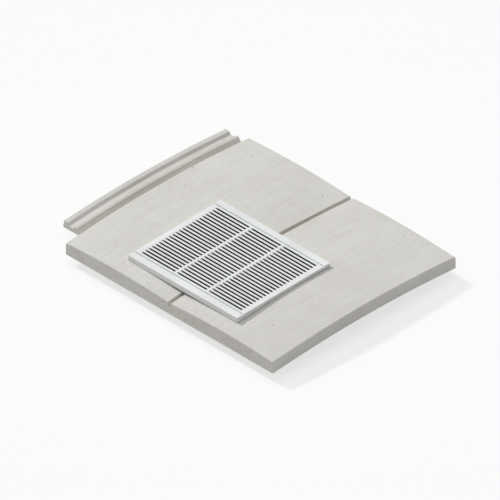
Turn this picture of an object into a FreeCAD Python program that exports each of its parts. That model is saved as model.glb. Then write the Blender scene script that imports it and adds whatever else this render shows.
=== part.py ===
import FreeCAD, Part
import math
import os

# Roof tile vent: a flat, double-width interlocking concrete tile with a slotted grille over a throat.
# Sizes are in millimetres. +X runs across the tile to its lap side, +Y up the slope, +Z up.
# The origin is the middle of the footprint, level with the bottoms of the nibs.

# Tile
face_width = 302.4
tile_length = 267.0
edge_thickness = 14.7
length_camber = 5.9
half_crown = 2.5
arris_radius = 1.2
bond_groove_width = 4.2
bond_groove_depth = 5.6

# Side lap: the underlock on the left, measured out from the side and down from the face's edge
lock_setback = 30.7
lock_reach = 33.6
toe_reach = 1.0
toe_height = 3.4
rib_drop = 5.8
outer_rib_width = 5.6
outer_rib_fall = 0.7
outer_channel_width = 10.6
outer_channel_drop = 9.2
outer_channel_fall = 0.7
channel_draft = 1.5
inner_rib_width = 3.4
inner_rib_fall = 1.0
rib_lean = 0.8
shoulder_drop = 9.1
main_channel_width = 5.9
lock_floor = 3.4
lock_root = 13.0
root_flat = 6.0

# Side lap: the matching recess under the right edge
joint_gap = 1.6
lap_clearance = 0.8
lean_clearance = 1.2
end_clearance = 1.6
floor_clearance = 0.3

# Underside
nib_width = 42.0
nib_length = 11.0
nib_depth = 8.0
nib_spacing = 142.0
nib_from_head = 8.0
nib_draft = 2.0
pad_length = 45.0
bar_width = 4.5
bar_depth = 6.0
bar_pitch = 9.5
bar_from_tail = 9.5
bar_draft = 1.2
bar_end_margin = 22.0

# Grille cover
cover_width = 160.0
cover_length = 136.0
cover_from_tail = 19.2
cover_corner = 1.0
cover_inner_corner = 0.5
cover_rise_front = 6.6
cover_rise_rear = 4.6
cover_edge_radius = 0.5
deck_thickness = 3.2
skirt_wall = 2.2
cover_clearance = 0.3
margin_line = 9.2
margin_line_width = 1.6
margin_line_depth = 1.5
slot_pitch = 4.9
slot_width = 2.3
slot_lean = 40.0
slot_end_margin = 12.5
slot_side_margin = 6.85
slot_end_chamfer = 0.7
middle_slot_length = 43.3
column_rib = 2.9

# Opening in the concrete, its seat and its throat
seat_inset = 1.8
seat_drop = 11.0
seat_ledge = 10.0
opening_corner = 8.0
flange_clearance = 2.0
flange_thickness = 2.0
seal_thickness = 2.0
seal_width = 6.0
seal_setback = 1.0
throat_side_strip = 10.0
throat_end_gap = 1.0
throat_corner = 7.0
throat_wall = 2.0
weir_gap = 0.5
throat_end_drop = 31.0
backing_drop = 25.0
backing_thickness = 3.0
backing_clearance = 1.0

# Rain baffle, dropped onto a ledge inside the throat
ledge_drop = 16.5
ledge_width = 1.5
ledge_height = 2.0
baffle_height = 10.0
baffle_clearance = 0.4
baffle_wall = 1.6
blade_pitch = 9.8
blade_thickness = 1.6
blade_lean = 45.0

# Snap hooks of the cover
hook_width = 12.0
hook_wall = 1.5
hook_gap = 0.3
hook_catch = 1.1
hook_catch_height = 1.25
hook_inset = 35.0

# Fixing screws
screw_end_inset = 13.0
boss_radius = 4.0
boss_side_gap = 1.0
boss_gap = 0.5
web_thickness = 3.0
screw_radius = 1.4
screw_length = 14.0
screw_tip_room = 1.0
screw_hole_radius = 1.9
screw_head_radius = 3.3
screw_head_height = 2.0
screw_head_chamfer = 0.9
recess_length = 3.6
recess_width = 0.9
recess_depth = 1.1

# Worked out from the sizes above
V = FreeCAD.Vector
near = 0.01
past = 1.0  # how far a cutter runs past the face that it cuts
far = 60.0  # longer than the tile and its fittings are deep
total_width = face_width + lock_reach + toe_reach
x_side = -total_width / 2 + lock_reach + toe_reach
x_lap = total_width / 2
x_mid = (x_side + x_lap) / 2
y_tail = -tile_length / 2
y_head = tile_length / 2
y_lock = y_tail + lock_setback
camber_radius = tile_length ** 2 / (8 * length_camber) + length_camber / 2
main_channel_drop = edge_thickness + floor_clearance
lock_drop = main_channel_drop + lock_floor
outer_rib_in = lock_reach - outer_rib_width
channel_in = outer_rib_in - outer_channel_width
inner_rib_in = channel_in - inner_rib_width
shoulder_in = inner_rib_in - rib_lean
y_nib = y_head - nib_from_head - nib_length


def arc_height(y):
    """Height of the long camber above the level of the tile's corners."""
    return math.sqrt(camber_radius ** 2 - y ** 2) - math.sqrt(camber_radius ** 2 - y_head ** 2)


edge_level = nib_depth + lock_drop - arc_height(y_nib)
pad_level = nib_depth
axis_level = edge_level + length_camber - camber_radius

y_cover = y_tail + cover_from_tail + cover_length / 2
cover_front = edge_level + arc_height(y_cover - cover_length / 2) + half_crown + cover_rise_front
cover_rear = edge_level + arc_height(y_cover + cover_length / 2) + half_crown + cover_rise_rear
cover_level = (cover_front + cover_rear) / 2
cover_tilt = math.degrees(math.atan((cover_rear - cover_front) / cover_length))

seat_width = cover_width - 2 * (skirt_wall + seat_inset)
seat_length = cover_length - 2 * (skirt_wall + seat_inset)
opening_width = seat_width - 2 * seat_ledge
opening_length = seat_length - 2 * seat_ledge
throat_width = opening_width - 2 * throat_side_strip
throat_length = opening_length - 2 * throat_end_gap
screw_x = opening_width / 2 - boss_side_gap - boss_radius
screw_y = throat_length / 2 - screw_end_inset
hook_x = cover_width / 2 - hook_inset
slot_rows = math.floor((cover_length - 2 * slot_end_margin - slot_width) / slot_pitch) + 1
slot_field = cover_width - 2 * slot_side_margin
outer_slot_length = (slot_field - middle_slot_length) / 2 - column_rib
flange_width = seat_width - 2 * flange_clearance
flange_length = seat_length - 2 * flange_clearance
flange_top = seal_thickness + flange_thickness - seat_drop
flange_under = seal_thickness - seat_drop
weir_top = -deck_thickness - weir_gap


def outline(points):
    """Closed face in the XZ plane. A point is (x, z), or ("arc", middle, end) for a round stretch."""
    edges = []
    start = points[0]
    for point in points[1:] + [points[0]]:
        if point[0] == "arc":
            middle, end = point[1:]
            edges.append(Part.Arc(*[V(x, 0, z) for x, z in (start, middle, end)]).toShape())
        else:
            end = point
            edges.append(Part.LineSegment(*[V(x, 0, z) for x, z in (start, end)]).toShape())
        start = end
    return Part.Face(Part.Wire(edges))


def along_camber(points, y_from, y_to):
    """Section with heights measured from the face's edge, carried along the long camber."""
    face = outline(points)
    face.translate(V(0, 0, edge_level + length_camber))
    base = V(0, 0, axis_level)
    half_turn = math.degrees(math.asin((y_head + far / 2) / (camber_radius - far)))
    face.rotate(base, V(1, 0, 0), -half_turn)
    solid = face.revolve(base, V(1, 0, 0), 2 * half_turn)
    span = Part.makeBox(2 * total_width, y_to - y_from, 4 * far, V(-total_width, y_from, -far))
    return solid.common(span)


def rounded_block(width, length, corner, z_low, z_high):
    """Upright block with rounded corners, centred on the cover's own axes."""
    block = Part.makeBox(width, length, z_high - z_low, V(-width / 2, -length / 2, z_low))
    upright = [e for e in block.Edges if abs(e.tangentAt(e.FirstParameter).z) > 0.9]
    return block.makeFillet(corner, upright)


def on_cover_axes(shape):
    """Turns and moves a shape from the cover's own axes, with the deck's top at zero, to the tile."""
    placed = shape.copy()
    placed.rotate(V(0, 0, 0), V(1, 0, 0), cover_tilt)
    placed.translate(V(x_mid, y_cover, cover_level))
    return placed


def half_body(x_from, x_to, raised, radius):
    """One half of the slab, crowned across, with its three free top edges rounded."""
    middle = ("arc", ((x_from + x_to) / 2, half_crown + raised), (x_to, raised))
    section = [(x_from, -edge_thickness), (x_from, raised), middle, (x_to, -edge_thickness)]
    half = along_camber(section, y_tail, y_head)
    if not radius:
        return half
    top = []
    for edge in half.Edges:
        box = edge.BoundBox
        at_end = box.YLength < near and box.XLength > radius
        at_side = box.XLength < near and box.YLength > radius
        is_free = at_end or abs(abs(box.XMin - x_mid) - face_width / 2) < near
        if (at_end or at_side) and is_free and box.ZMin > edge_level - edge_thickness / 2:
            top.append(edge)
    return half.makeFillet(radius, top)


def slab(raised=0.0, radius=0.0):
    left = half_body(x_side, x_mid, raised, radius)
    right = half_body(x_mid, x_lap, raised, radius)
    return left.fuse(right).removeSplitter()


def underlock():
    """Two ribs and two channels beside the slab, rooted under its left edge. Rib tops fall inwards."""
    slope = (shoulder_in - main_channel_width) / (main_channel_drop - shoulder_drop)
    # (distance out from the side, drop from the face's edge)
    top = [
        (lock_reach, edge_thickness - toe_height), (lock_reach, rib_drop),
        (outer_rib_in, rib_drop + outer_rib_fall), (outer_rib_in - channel_draft, outer_channel_drop),
        (channel_in + channel_draft, outer_channel_drop + outer_channel_fall), (channel_in, rib_drop),
        (inner_rib_in, rib_drop + inner_rib_fall), (shoulder_in, shoulder_drop),
        (main_channel_width, main_channel_drop), (0, main_channel_drop),
        (0, edge_thickness - 2 * floor_clearance), (-lock_root, edge_thickness - 2 * floor_clearance)]
    under = [
        (-root_flat, lock_drop), (main_channel_width + lock_floor, lock_drop),
        (main_channel_width + lock_floor + slope * (lock_drop - edge_thickness), edge_thickness),
        (lock_reach - toe_reach, edge_thickness)]
    points = [(x_side - out, -drop) for out, drop in top + under]
    # The toe's heel is a quarter circle, as far across as the toe
    heel = 2 * toe_reach
    x_heel = points[-1][0]
    diagonal = heel * math.sqrt(0.5)
    heel_middle = (x_heel - diagonal, heel - diagonal - edge_thickness)
    points.append(("arc", heel_middle, (x_heel - heel, heel - edge_thickness)))
    return along_camber(points, y_lock, y_head)


def lap_recess():
    """Space under the right edge for the next tile's underlock, a clearance larger all round."""
    gap = lap_clearance
    web = rib_drop - gap
    rib_end = outer_channel_drop - gap
    foot = main_channel_width - gap
    back = lock_reach + toe_reach + gap
    below = edge_thickness + far / 2
    # (distance out from the next tile's side, drop from the face's edge)
    recess = [
        (foot, edge_thickness), (shoulder_in - lean_clearance, shoulder_drop),
        (inner_rib_in - lean_clearance, web), (channel_in + gap, web),
        (channel_in + channel_draft + gap, rib_end + outer_channel_fall),
        (outer_rib_in - channel_draft - gap, rib_end), (outer_rib_in - gap, web), (back, web),
        (back, below), (foot, below)]
    x_next = x_lap + joint_gap
    points = [(x_next - out, -drop) for out, drop in recess]
    return along_camber(points, y_lock - end_clearance, y_head + past)


def bond_groove():
    """Round-bottomed groove down the middle of the face, which stops at the seat of the opening."""
    r = bond_groove_width / 2
    bottom = -bond_groove_depth
    points = [
        (x_mid - r, half_crown), (x_mid - r, bottom + r),
        ("arc", (x_mid, bottom), (x_mid + r, bottom + r)), (x_mid + r, half_crown)]
    groove = along_camber(points, y_tail - past, y_head + past)
    keep = rounded_block(seat_width, seat_length, opening_corner, -far, far)
    return groove.cut(on_cover_axes(keep))


def bearing_nib(x):
    """Batten pad and the nib behind it. The nib's face towards the tail is upright."""
    root = edge_level - edge_thickness / 2
    points = [
        V(x, y_nib - pad_length, root), V(x, y_nib - pad_length, pad_level), V(x, y_nib, pad_level),
        V(x, y_nib, 0), V(x, y_nib + nib_length - nib_draft, 0), V(x, y_nib + nib_length, root)]
    face = Part.Face(Part.makePolygon(points + [points[0]]))
    nib = face.extrude(V(nib_width, 0, 0))
    nib.translate(V(-nib_width / 2, 0, 0))
    return nib


def weather_bar(y):
    """Low rib across the underside of the tail."""
    under = edge_level + arc_height(y) - edge_thickness
    low = under - bar_depth
    half = bar_width / 2
    points = [
        V(0, y - half - bar_draft, under + past), V(0, y - half, low),
        V(0, y + half, low), V(0, y + half + bar_draft, under + past)]
    face = Part.Face(Part.makePolygon(points + [points[0]]))
    bar = face.extrude(V(face_width - 2 * bar_end_margin, 0, 0))
    bar.translate(V(x_side + bar_end_margin, 0, 0))
    return bar


def concrete_tile():
    tile = slab(radius=arris_radius).fuse(underlock())
    tile = tile.cut(lap_recess()).cut(bond_groove())
    tile = tile.cut(on_cover_axes(rounded_block(seat_width, seat_length, opening_corner, -seat_drop, far)))
    opening = rounded_block(opening_width, opening_length, opening_corner, -far, far)
    tile = tile.cut(on_cover_axes(opening))
    for side in (-1, 1):
        tile = tile.fuse(bearing_nib(x_mid + side * nib_spacing / 2))
    for row in range(2):
        tile = tile.fuse(weather_bar(y_tail + bar_from_tail + row * bar_pitch))
    return tile.removeSplitter()


def slot_cutters():
    """Leaning slots in three columns, so that no drop falls straight through the deck."""
    lean = math.tan(math.radians(slot_lean))
    depth = deck_thickness + 2 * past
    half = slot_width / 2
    cut = slot_end_chamfer
    cutters = []
    for row in range(slot_rows):
        y = (row - (slot_rows - 1) / 2) * slot_pitch - past * lean
        left = -slot_field / 2
        for length in (outer_slot_length, middle_slot_length, outer_slot_length):
            right = left + length
            points = [
                (left + cut, y - half), (right - cut, y - half), (right, y - half + cut),
                (right, y + half - cut), (right - cut, y + half), (left + cut, y + half),
                (left, y + half - cut), (left, y - half + cut)]
            face = Part.Face(Part.makePolygon([V(*point, past) for point in points + points[:1]]))
            cutters.append(face.extrude(V(0, lean * depth, -depth)))
            left = right + column_rib
    return Part.makeCompound(cutters)


def snap_hook():
    """Arm hanging from the deck behind the flange's edge, with its catch under the flange."""
    arm_in = flange_length / 2 + hook_gap
    catch_top = flange_under - hook_gap / 2
    low = catch_top - hook_catch_height
    arm = Part.makeBox(hook_width, hook_wall, -deck_thickness - low, V(-hook_width / 2, arm_in, low))
    catch = Part.makeBox(
        hook_width, hook_catch + hook_wall, hook_catch_height,
        V(-hook_width / 2, arm_in - hook_catch, low))
    return arm.fuse(catch)


def grille_cover():
    shell = rounded_block(cover_width, cover_length, cover_corner, -far, 0)
    rim = [e for e in shell.Edges if e.BoundBox.ZMin > -near]
    shell = shell.makeFillet(cover_edge_radius, rim)
    inner_width = cover_width - 2 * skirt_wall
    inner_length = cover_length - 2 * skirt_wall
    shell = shell.cut(rounded_block(
        inner_width, inner_length, cover_inner_corner, -far - past, -deck_thickness))
    foot = cover_clearance - cover_rise_front
    front = Part.makeBox(
        cover_width + 2 * past, skirt_wall + past, far,
        V(-cover_width / 2 - past, -cover_length / 2 - past, foot - far))
    shell = shell.cut(front)
    shell = on_cover_axes(shell).cut(slab(raised=cover_clearance))
    shell = max(shell.Solids, key=lambda solid: solid.Volume)
    additions = []
    for side in (-1, 1):
        for end in (0, 180):
            hook = snap_hook()
            hook.rotate(V(0, 0, 0), V(0, 0, 1), end)
            hook.translate(V(side * hook_x, 0, 0))
            additions.append(on_cover_axes(hook))
    shell = shell.fuse(additions)
    for end in (-1, 1):
        y = end * (cover_length / 2 - margin_line) - margin_line_width / 2
        line = Part.makeBox(
            cover_width + 2 * past, margin_line_width, margin_line_depth + past,
            V(-cover_width / 2 - past, y, -margin_line_depth))
        shell = shell.cut(on_cover_axes(line))
    return shell.cut(on_cover_axes(slot_cutters()))


def screw_places():
    """Names and places of the four screws on the cover's axes."""
    places = {}
    for end, y in (("front", -screw_y), ("rear", screw_y)):
        for side, x in (("left", -screw_x), ("right", screw_x)):
            places[f"screw_{end}_{side}"] = (x, y)
    return places


def throat_bore(inset, z_low, z_high):
    """Block as wide as the inside of the throat, less an inset all round."""
    shrink = 2 * (throat_wall + inset)
    corner = throat_corner - throat_wall - inset
    return rounded_block(throat_width - shrink, throat_length - shrink, corner, z_low, z_high)


def throat_frame():
    frame = rounded_block(flange_width, flange_length, opening_corner, flange_under, flange_top)
    frame = frame.fuse(
        rounded_block(throat_width, throat_length, throat_corner, -throat_end_drop, weir_top))
    boss_end = boss_gap - backing_drop
    boss_length = flange_under + flange_thickness / 2 - boss_end
    for x, y in screw_places().values():
        boss = Part.makeCylinder(boss_radius, boss_length, V(x, y, boss_end))
        reach = abs(x) - throat_width / 2 + throat_wall / 2
        start = x - reach if x > 0 else x
        web = Part.makeBox(
            reach, web_thickness, boss_length, V(start, y - web_thickness / 2, boss_end))
        frame = frame.fuse([boss, web])
    frame = frame.cut(throat_bore(0, -far, far))
    ledge = throat_bore(-throat_wall / 2, -ledge_drop - ledge_height, -ledge_drop)
    frame = frame.fuse(ledge.cut(throat_bore(ledge_width, -far, far)))
    pilot_end = screw_length + screw_tip_room - backing_drop - backing_thickness
    pilot_start = boss_end - past
    for x, y in screw_places().values():
        frame = frame.cut(Part.makeCylinder(screw_radius, pilot_end - pilot_start, V(x, y, pilot_start)))
    return on_cover_axes(frame.removeSplitter())


def rain_baffle():
    """Open frame with blades that lean against the lean of the slots above."""
    low = -ledge_drop
    high = baffle_height - ledge_drop
    body = throat_bore(baffle_clearance, low, high)
    core = throat_bore(baffle_clearance + baffle_wall, -far, far)
    frame = body.cut(core)
    run = baffle_height * math.tan(math.radians(blade_lean))
    width = throat_width - 2 * throat_wall
    half_length = throat_length / 2 - throat_wall
    across = blade_thickness / math.cos(math.radians(blade_lean))
    count = math.ceil((2 * half_length + run) / blade_pitch)
    first = -half_length - run / 2 + ((2 * half_length + run) - (count - 1) * blade_pitch) / 2
    blades = []
    for index in range(count):
        y = first + index * blade_pitch
        points = [
            V(-width / 2, y - run / 2 - across / 2, low), V(-width / 2, y - run / 2 + across / 2, low),
            V(-width / 2, y + run / 2 + across / 2, high), V(-width / 2, y + run / 2 - across / 2, high)]
        blade = Part.Face(Part.makePolygon(points + [points[0]])).extrude(V(width, 0, 0))
        blades.append(blade.common(body))
    spine = Part.makeBox(baffle_wall, 2 * half_length, baffle_height, V(-baffle_wall / 2, -half_length, low))
    return on_cover_axes(frame.fuse(blades).fuse(spine.common(body)).removeSplitter())


def seal_ring(z_low, z_high):
    outer = rounded_block(
        opening_width + 2 * (seal_setback + seal_width), opening_length + 2 * (seal_setback + seal_width),
        opening_corner + seal_setback + seal_width, z_low, z_high)
    inner = rounded_block(
        opening_width + 2 * seal_setback, opening_length + 2 * seal_setback,
        opening_corner + seal_setback, z_low - past, z_high + past)
    return on_cover_axes(outer.cut(inner))


def top_seal():
    return seal_ring(-seat_drop, flange_under)


def bottom_seal():
    """Ring whose top follows the arched underside of the slab."""
    ring = seal_ring(-backing_drop, -seat_drop - seal_thickness).cut(slab())
    return min(ring.Solids, key=lambda solid: solid.CenterOfMass.z)


def backing_frame():
    low = -backing_drop - backing_thickness
    frame = rounded_block(flange_width, flange_length, opening_corner, low, -backing_drop)
    frame = frame.cut(rounded_block(
        throat_width + 2 * backing_clearance, throat_length + 2 * backing_clearance,
        throat_corner + backing_clearance, low - past, far))
    for x, y in screw_places().values():
        hole = Part.makeCylinder(screw_hole_radius, backing_thickness + 2 * past, V(x, y, low - past))
        frame = frame.cut(hole)
    return on_cover_axes(frame)


def fixing_screw(x, y):
    """Pan-head screw with a cross recess, its head under the backing frame."""
    seat = -backing_drop - backing_thickness
    shank = Part.makeCylinder(screw_radius, screw_length, V(x, y, seat))
    head_end = seat - screw_head_height
    head = Part.makeCylinder(screw_head_radius, screw_head_height, V(x, y, head_end))
    lower = [e for e in head.Edges if e.BoundBox.ZMax < head_end + near]
    head = head.makeChamfer(screw_head_chamfer, lower)
    screw = shank.fuse(head)
    for width, length in ((recess_length, recess_width), (recess_width, recess_length)):
        screw = screw.cut(Part.makeBox(
            width, length, recess_depth + past, V(x - width / 2, y - length / 2, head_end - past)))
    return on_cover_axes(screw.removeSplitter())


def build():
    nodes = {
        "concrete_tile": concrete_tile(),
        "grille_cover": grille_cover(),
        "throat_frame": throat_frame(),
        "rain_baffle": rain_baffle(),
        "top_seal": top_seal(),
        "bottom_seal": bottom_seal(),
        "backing_frame": backing_frame()}
    for name, (x, y) in screw_places().items():
        nodes[name] = fixing_screw(x, y)
    os.makedirs("parts", exist_ok=True)
    for name, shape in nodes.items():
        solid = shape.Solids[0] if len(shape.Solids) == 1 else shape
        print(f"{name}: {len(shape.Solids)} solid, valid {solid.isValid()}, {solid.Volume / 1000:.1f} cm3")
        solid.exportStep(f"parts/{name}.step")


build()
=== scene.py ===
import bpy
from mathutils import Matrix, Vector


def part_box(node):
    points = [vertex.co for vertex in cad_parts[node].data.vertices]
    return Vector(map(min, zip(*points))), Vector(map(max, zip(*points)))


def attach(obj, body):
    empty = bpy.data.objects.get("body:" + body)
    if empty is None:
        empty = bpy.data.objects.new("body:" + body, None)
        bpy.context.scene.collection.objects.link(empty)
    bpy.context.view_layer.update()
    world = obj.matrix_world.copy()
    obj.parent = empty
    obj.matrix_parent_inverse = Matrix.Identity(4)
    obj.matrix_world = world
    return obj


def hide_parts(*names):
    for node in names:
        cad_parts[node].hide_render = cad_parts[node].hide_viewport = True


bl_info = {
    "name": "Roof tile vent",
    "version": (1, 0, 0),
    "blender": (4, 5, 0),
    "location": "View3D > Sidebar > Roof vent",
    "description": "Cast concrete roof tile with a slotted vent grille, its throat and its fixings",
    "category": "Add Mesh",
}

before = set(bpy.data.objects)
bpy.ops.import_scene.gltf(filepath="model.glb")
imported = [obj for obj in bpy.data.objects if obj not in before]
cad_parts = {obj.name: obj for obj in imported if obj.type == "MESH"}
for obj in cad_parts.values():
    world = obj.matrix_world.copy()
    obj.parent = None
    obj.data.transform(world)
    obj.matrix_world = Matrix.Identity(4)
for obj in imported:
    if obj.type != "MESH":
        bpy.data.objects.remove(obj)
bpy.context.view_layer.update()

import math
from types import SimpleNamespace

import bmesh
import bpy
import numpy as np
from mathutils import Vector

tile_low, tile_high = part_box("concrete_tile")
mm = 0.001

# Side lap, measured out from the tile's side and down from the edge of its face
lock_setback = 30.7 * mm
lock_reach = 33.6 * mm
toe_reach = 1.0 * mm
toe_height = 3.4 * mm
rib_drop = 5.8 * mm
outer_rib_width = 5.6 * mm
outer_rib_fall = 0.7 * mm
outer_channel_width = 10.6 * mm
outer_channel_drop = 9.2 * mm
outer_channel_fall = 0.7 * mm
channel_draft = 1.5 * mm
inner_rib_width = 3.4 * mm
inner_rib_fall = 1.0 * mm
rib_lean = 0.8 * mm
shoulder_drop = 9.1 * mm
main_channel_width = 5.9 * mm
lock_floor = 3.4 * mm
lock_root = 13.0 * mm
root_flat = 6.0 * mm
joint_gap = 1.6 * mm
lap_clearance = 0.8 * mm
lean_clearance = 1.2 * mm
end_clearance = 1.6 * mm
floor_clearance = 0.3 * mm
cast_edge = 0.7 * mm
recess_soft = 0.6 * mm

# Face of the tile: its grid, and its long waves, each with its size across, its size along and its start
face_step = 2.4 * mm
carry_step = 8.0 * mm
wave_height = 0.12 * mm
wave_drop = 0.1 * mm
waves = ((23 * mm, 41 * mm, 1.3), (-37 * mm, 17 * mm, 0.4))
groove_flare = 0.5 * mm

# Underside of the tile
nib_width = 42.0 * mm
nib_length = 11.0 * mm
nib_depth = 8.0 * mm
nib_spacing = 142.0 * mm
nib_from_head = 8.0 * mm
nib_draft = 2.0 * mm
pad_length = 45.0 * mm
bar_width = 4.5 * mm
bar_depth = 6.0 * mm
bar_pitch = 9.5 * mm
bar_from_tail = 9.5 * mm
bar_draft = 1.2 * mm
bar_end_margin = 22.0 * mm
nib_soft = 2.0 * mm
nib_end_edge = 1.1 * mm
bar_soft = 1.2 * mm
bar_end_edge = 0.6 * mm

# Opening in the tile, with its seat, and the frame through it
cut_above = 30.0 * mm
cut_below = 60.0 * mm
seat_inset = 1.8 * mm
seat_drop = 11.0 * mm
seat_ledge = 10.0 * mm
opening_corner = 8.0 * mm
flange_clearance = 2.0 * mm
flange_thickness = 2.0 * mm
seal_thickness = 2.0 * mm
seal_width = 6.0 * mm
seal_setback = 1.0 * mm
seal_soft = 0.5 * mm
throat_side_strip = 10.0 * mm
throat_end_gap = 1.0 * mm
throat_corner = 7.0 * mm
throat_wall = 2.0 * mm
weir_gap = 0.5 * mm
throat_end_drop = 31.0 * mm
backing_drop = 25.0 * mm
backing_thickness = 3.0 * mm
backing_clearance = 1.0 * mm
backing_soft = 0.5 * mm

# Rain baffle
ledge_drop = 16.5 * mm
ledge_width = 1.5 * mm
ledge_height = 2.0 * mm
baffle_height = 10.0 * mm
baffle_clearance = 0.4 * mm
baffle_wall = 1.6 * mm
blade_pitch = 9.8 * mm
blade_thickness = 1.6 * mm
blade_lean = math.radians(45)
blade_setback = 0.12 * mm
blade_soft = 0.4 * mm

# Skirt, slots and shadow lines of the cover
nominal_foot = -6.0 * mm
foot_soft = 0.3 * mm
radius_reach = 1.3  # of a softened corner that looks like a radius of one
slot_cut_height = 0.4 * mm
line_draft = 0.1 * mm

# Snap hooks
hook_width = 12.0 * mm
hook_wall = 1.5 * mm
hook_gap = 0.3 * mm
hook_catch = 1.1 * mm
hook_catch_height = 1.25 * mm
hook_inset = 35.0 * mm
hook_soft = 0.35 * mm
hook_end_edge = 0.09 * mm

# Fixing screws
screw_end_inset = 13.0 * mm
boss_radius = 4.0 * mm
boss_side_gap = 1.0 * mm
boss_gap = 0.5 * mm
web_thickness = 3.0 * mm
screw_radius = 1.4 * mm
screw_length = 14.0 * mm
screw_tip_room = 1.0 * mm
screw_hole_radius = 1.9 * mm
screw_head_radius = 3.3 * mm
screw_head_height = 2.0 * mm
screw_head_flat = 0.62
screw_head_dome = 0.9 * mm
screw_head_soft = 0.45 * mm
recess_length = 3.6 * mm
recess_width = 0.9 * mm
recess_depth = 1.1 * mm
recess_corner = 0.2 * mm
recess_taper = 0.85
thread_pitch = 1.3 * mm
thread_depth = 0.35 * mm
thread_start = 0.5 * mm
thread_end = 0.2 * mm
thread_foot = 0.4
thread_flank = 0.25
point_start = 0.35
point_end = 0.3

# Working distances, counts of steps, and the angle over which an edge shows as sharp
near = 0.01 * mm
same_point = near / 100
past = 1.0 * mm
moulded_edge = 0.3 * mm
half_turn_steps = 12
circle_steps = 32
skirt_steps = 40
seal_steps = 30
thread_steps = 8
sharp_angle = math.radians(28)


def linear(hex_colour):
    """sRGB hex colour as linear red, green and blue."""
    parts = [int(hex_colour[i:i + 2], 16) / 255 for i in (1, 3, 5)]
    return [p / 12.92 if p <= 0.04045 else ((p + 0.055) / 1.055) ** 2.4 for p in parts]


def length(name, description, size_mm):
    """Length property with its default in millimetres."""
    return bpy.props.FloatProperty(
        name=name, description=description, default=size_mm * mm, min=0, precision=4, unit="LENGTH")


def colour(name, description, hex_colour):
    """Colour property with its default as an sRGB hex value."""
    return bpy.props.FloatVectorProperty(
        name=name, description=description, default=linear(hex_colour), min=0, max=1, subtype="COLOR")


class TileSettings(bpy.types.PropertyGroup):
    """Sizes of the concrete tile."""
    face_width: length("Face width", "Width of the face, without the side lap", 302.4)
    tile_length: length("Length", "From the tail to the head", 267.0)
    thickness: length("Thickness", "Thickness of the slab at its edges", 14.7)
    camber: length("Camber", "Rise of the face along its length", 5.9)
    crown: length("Crown", "Rise across each half of the face", 2.5)
    arris: length("Arris", "Radius of the free top edges", 1.2)
    groove_width: length("Groove width", "Width of the false joint down the middle", 4.2)
    groove_depth: length("Groove depth", "Depth of the false joint", 5.6)


class CoverSettings(bpy.types.PropertyGroup):
    """Sizes of the grille cover."""
    width: length("Width", "Across the slope", 160.0)
    cover_length: length("Length", "Up the slope", 136.0)
    from_tail: length("From tail", "Distance of the cover's front from the tile's tail", 19.2)
    rise_front: length("Front rise", "Height of the front edge over the crown of the face", 6.6)
    rise_rear: length("Rear rise", "Height of the rear edge over the crown of the face", 4.6)
    corner: length("Corner", "Radius of the upright corners", 1.0)
    inner_corner: length("Inner corner", "Radius of the corners inside the skirt", 0.5)
    edge: length("Edge radius", "Radius of the top edge", 0.5)
    deck: length("Deck", "Thickness of the slotted deck", 3.2)
    skirt: length("Skirt", "Thickness of the skirt", 2.2)
    clearance: length("Clearance", "Gap between the skirt and the tile", 0.3)
    margin_line: length("Margin line", "Distance of the two shadow lines from the ends", 9.2)
    margin_width: length("Line width", "Width of the shadow lines", 1.6)
    margin_depth: length("Line depth", "Depth of the shadow lines", 1.5)
    slot_pitch: length("Slot pitch", "From slot to slot", 4.9)
    slot_width: length("Slot width", "Width of a slot", 2.3)
    slot_chamfer: length("Slot edge", "Chamfer round the top of a slot", 0.25)
    slot_end_margin: length("End margin", "Plain deck before the first slot", 12.5)
    slot_side_margin: length("Side margin", "Plain deck beside the slots", 6.85)
    middle_slot: length("Middle slot", "Length of the slots of the middle column", 43.3)
    column_rib: length("Column rib", "Plain deck between the columns of slots", 2.9)
    slot_lean: bpy.props.FloatProperty(
        name="Slot lean", description="Lean of the slots through the deck",
        default=math.radians(40), min=0, max=math.radians(60), unit="ROTATION")


class FinishSettings(bpy.types.PropertyGroup):
    """Colours of the pieces."""
    concrete: colour("Concrete", "Cement paste of the tile", "#D9D7D2")
    sand: colour("Sand", "Darker grains and damp patches of the tile", "#ABA79E")
    grille: colour("Grille", "Moulded plastic of the cover", "#E4E6E6")
    fittings: colour("Fittings", "Moulded plastic below the cover", "#1C1C1D")
    foam: colour("Foam", "Sponge rubber of the seals", "#2B2B2A")
    steel: colour("Steel", "Stainless steel of the screws", "#BDBBB6")
    floor: colour("Floor", "Paper that the tile stands on", "#F3F3F2")


def settings():
    """The sizes of the tile and the cover, and the colours."""
    scene = bpy.context.scene
    return scene.vent_tile, scene.vent_cover, scene.vent_finish


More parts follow.
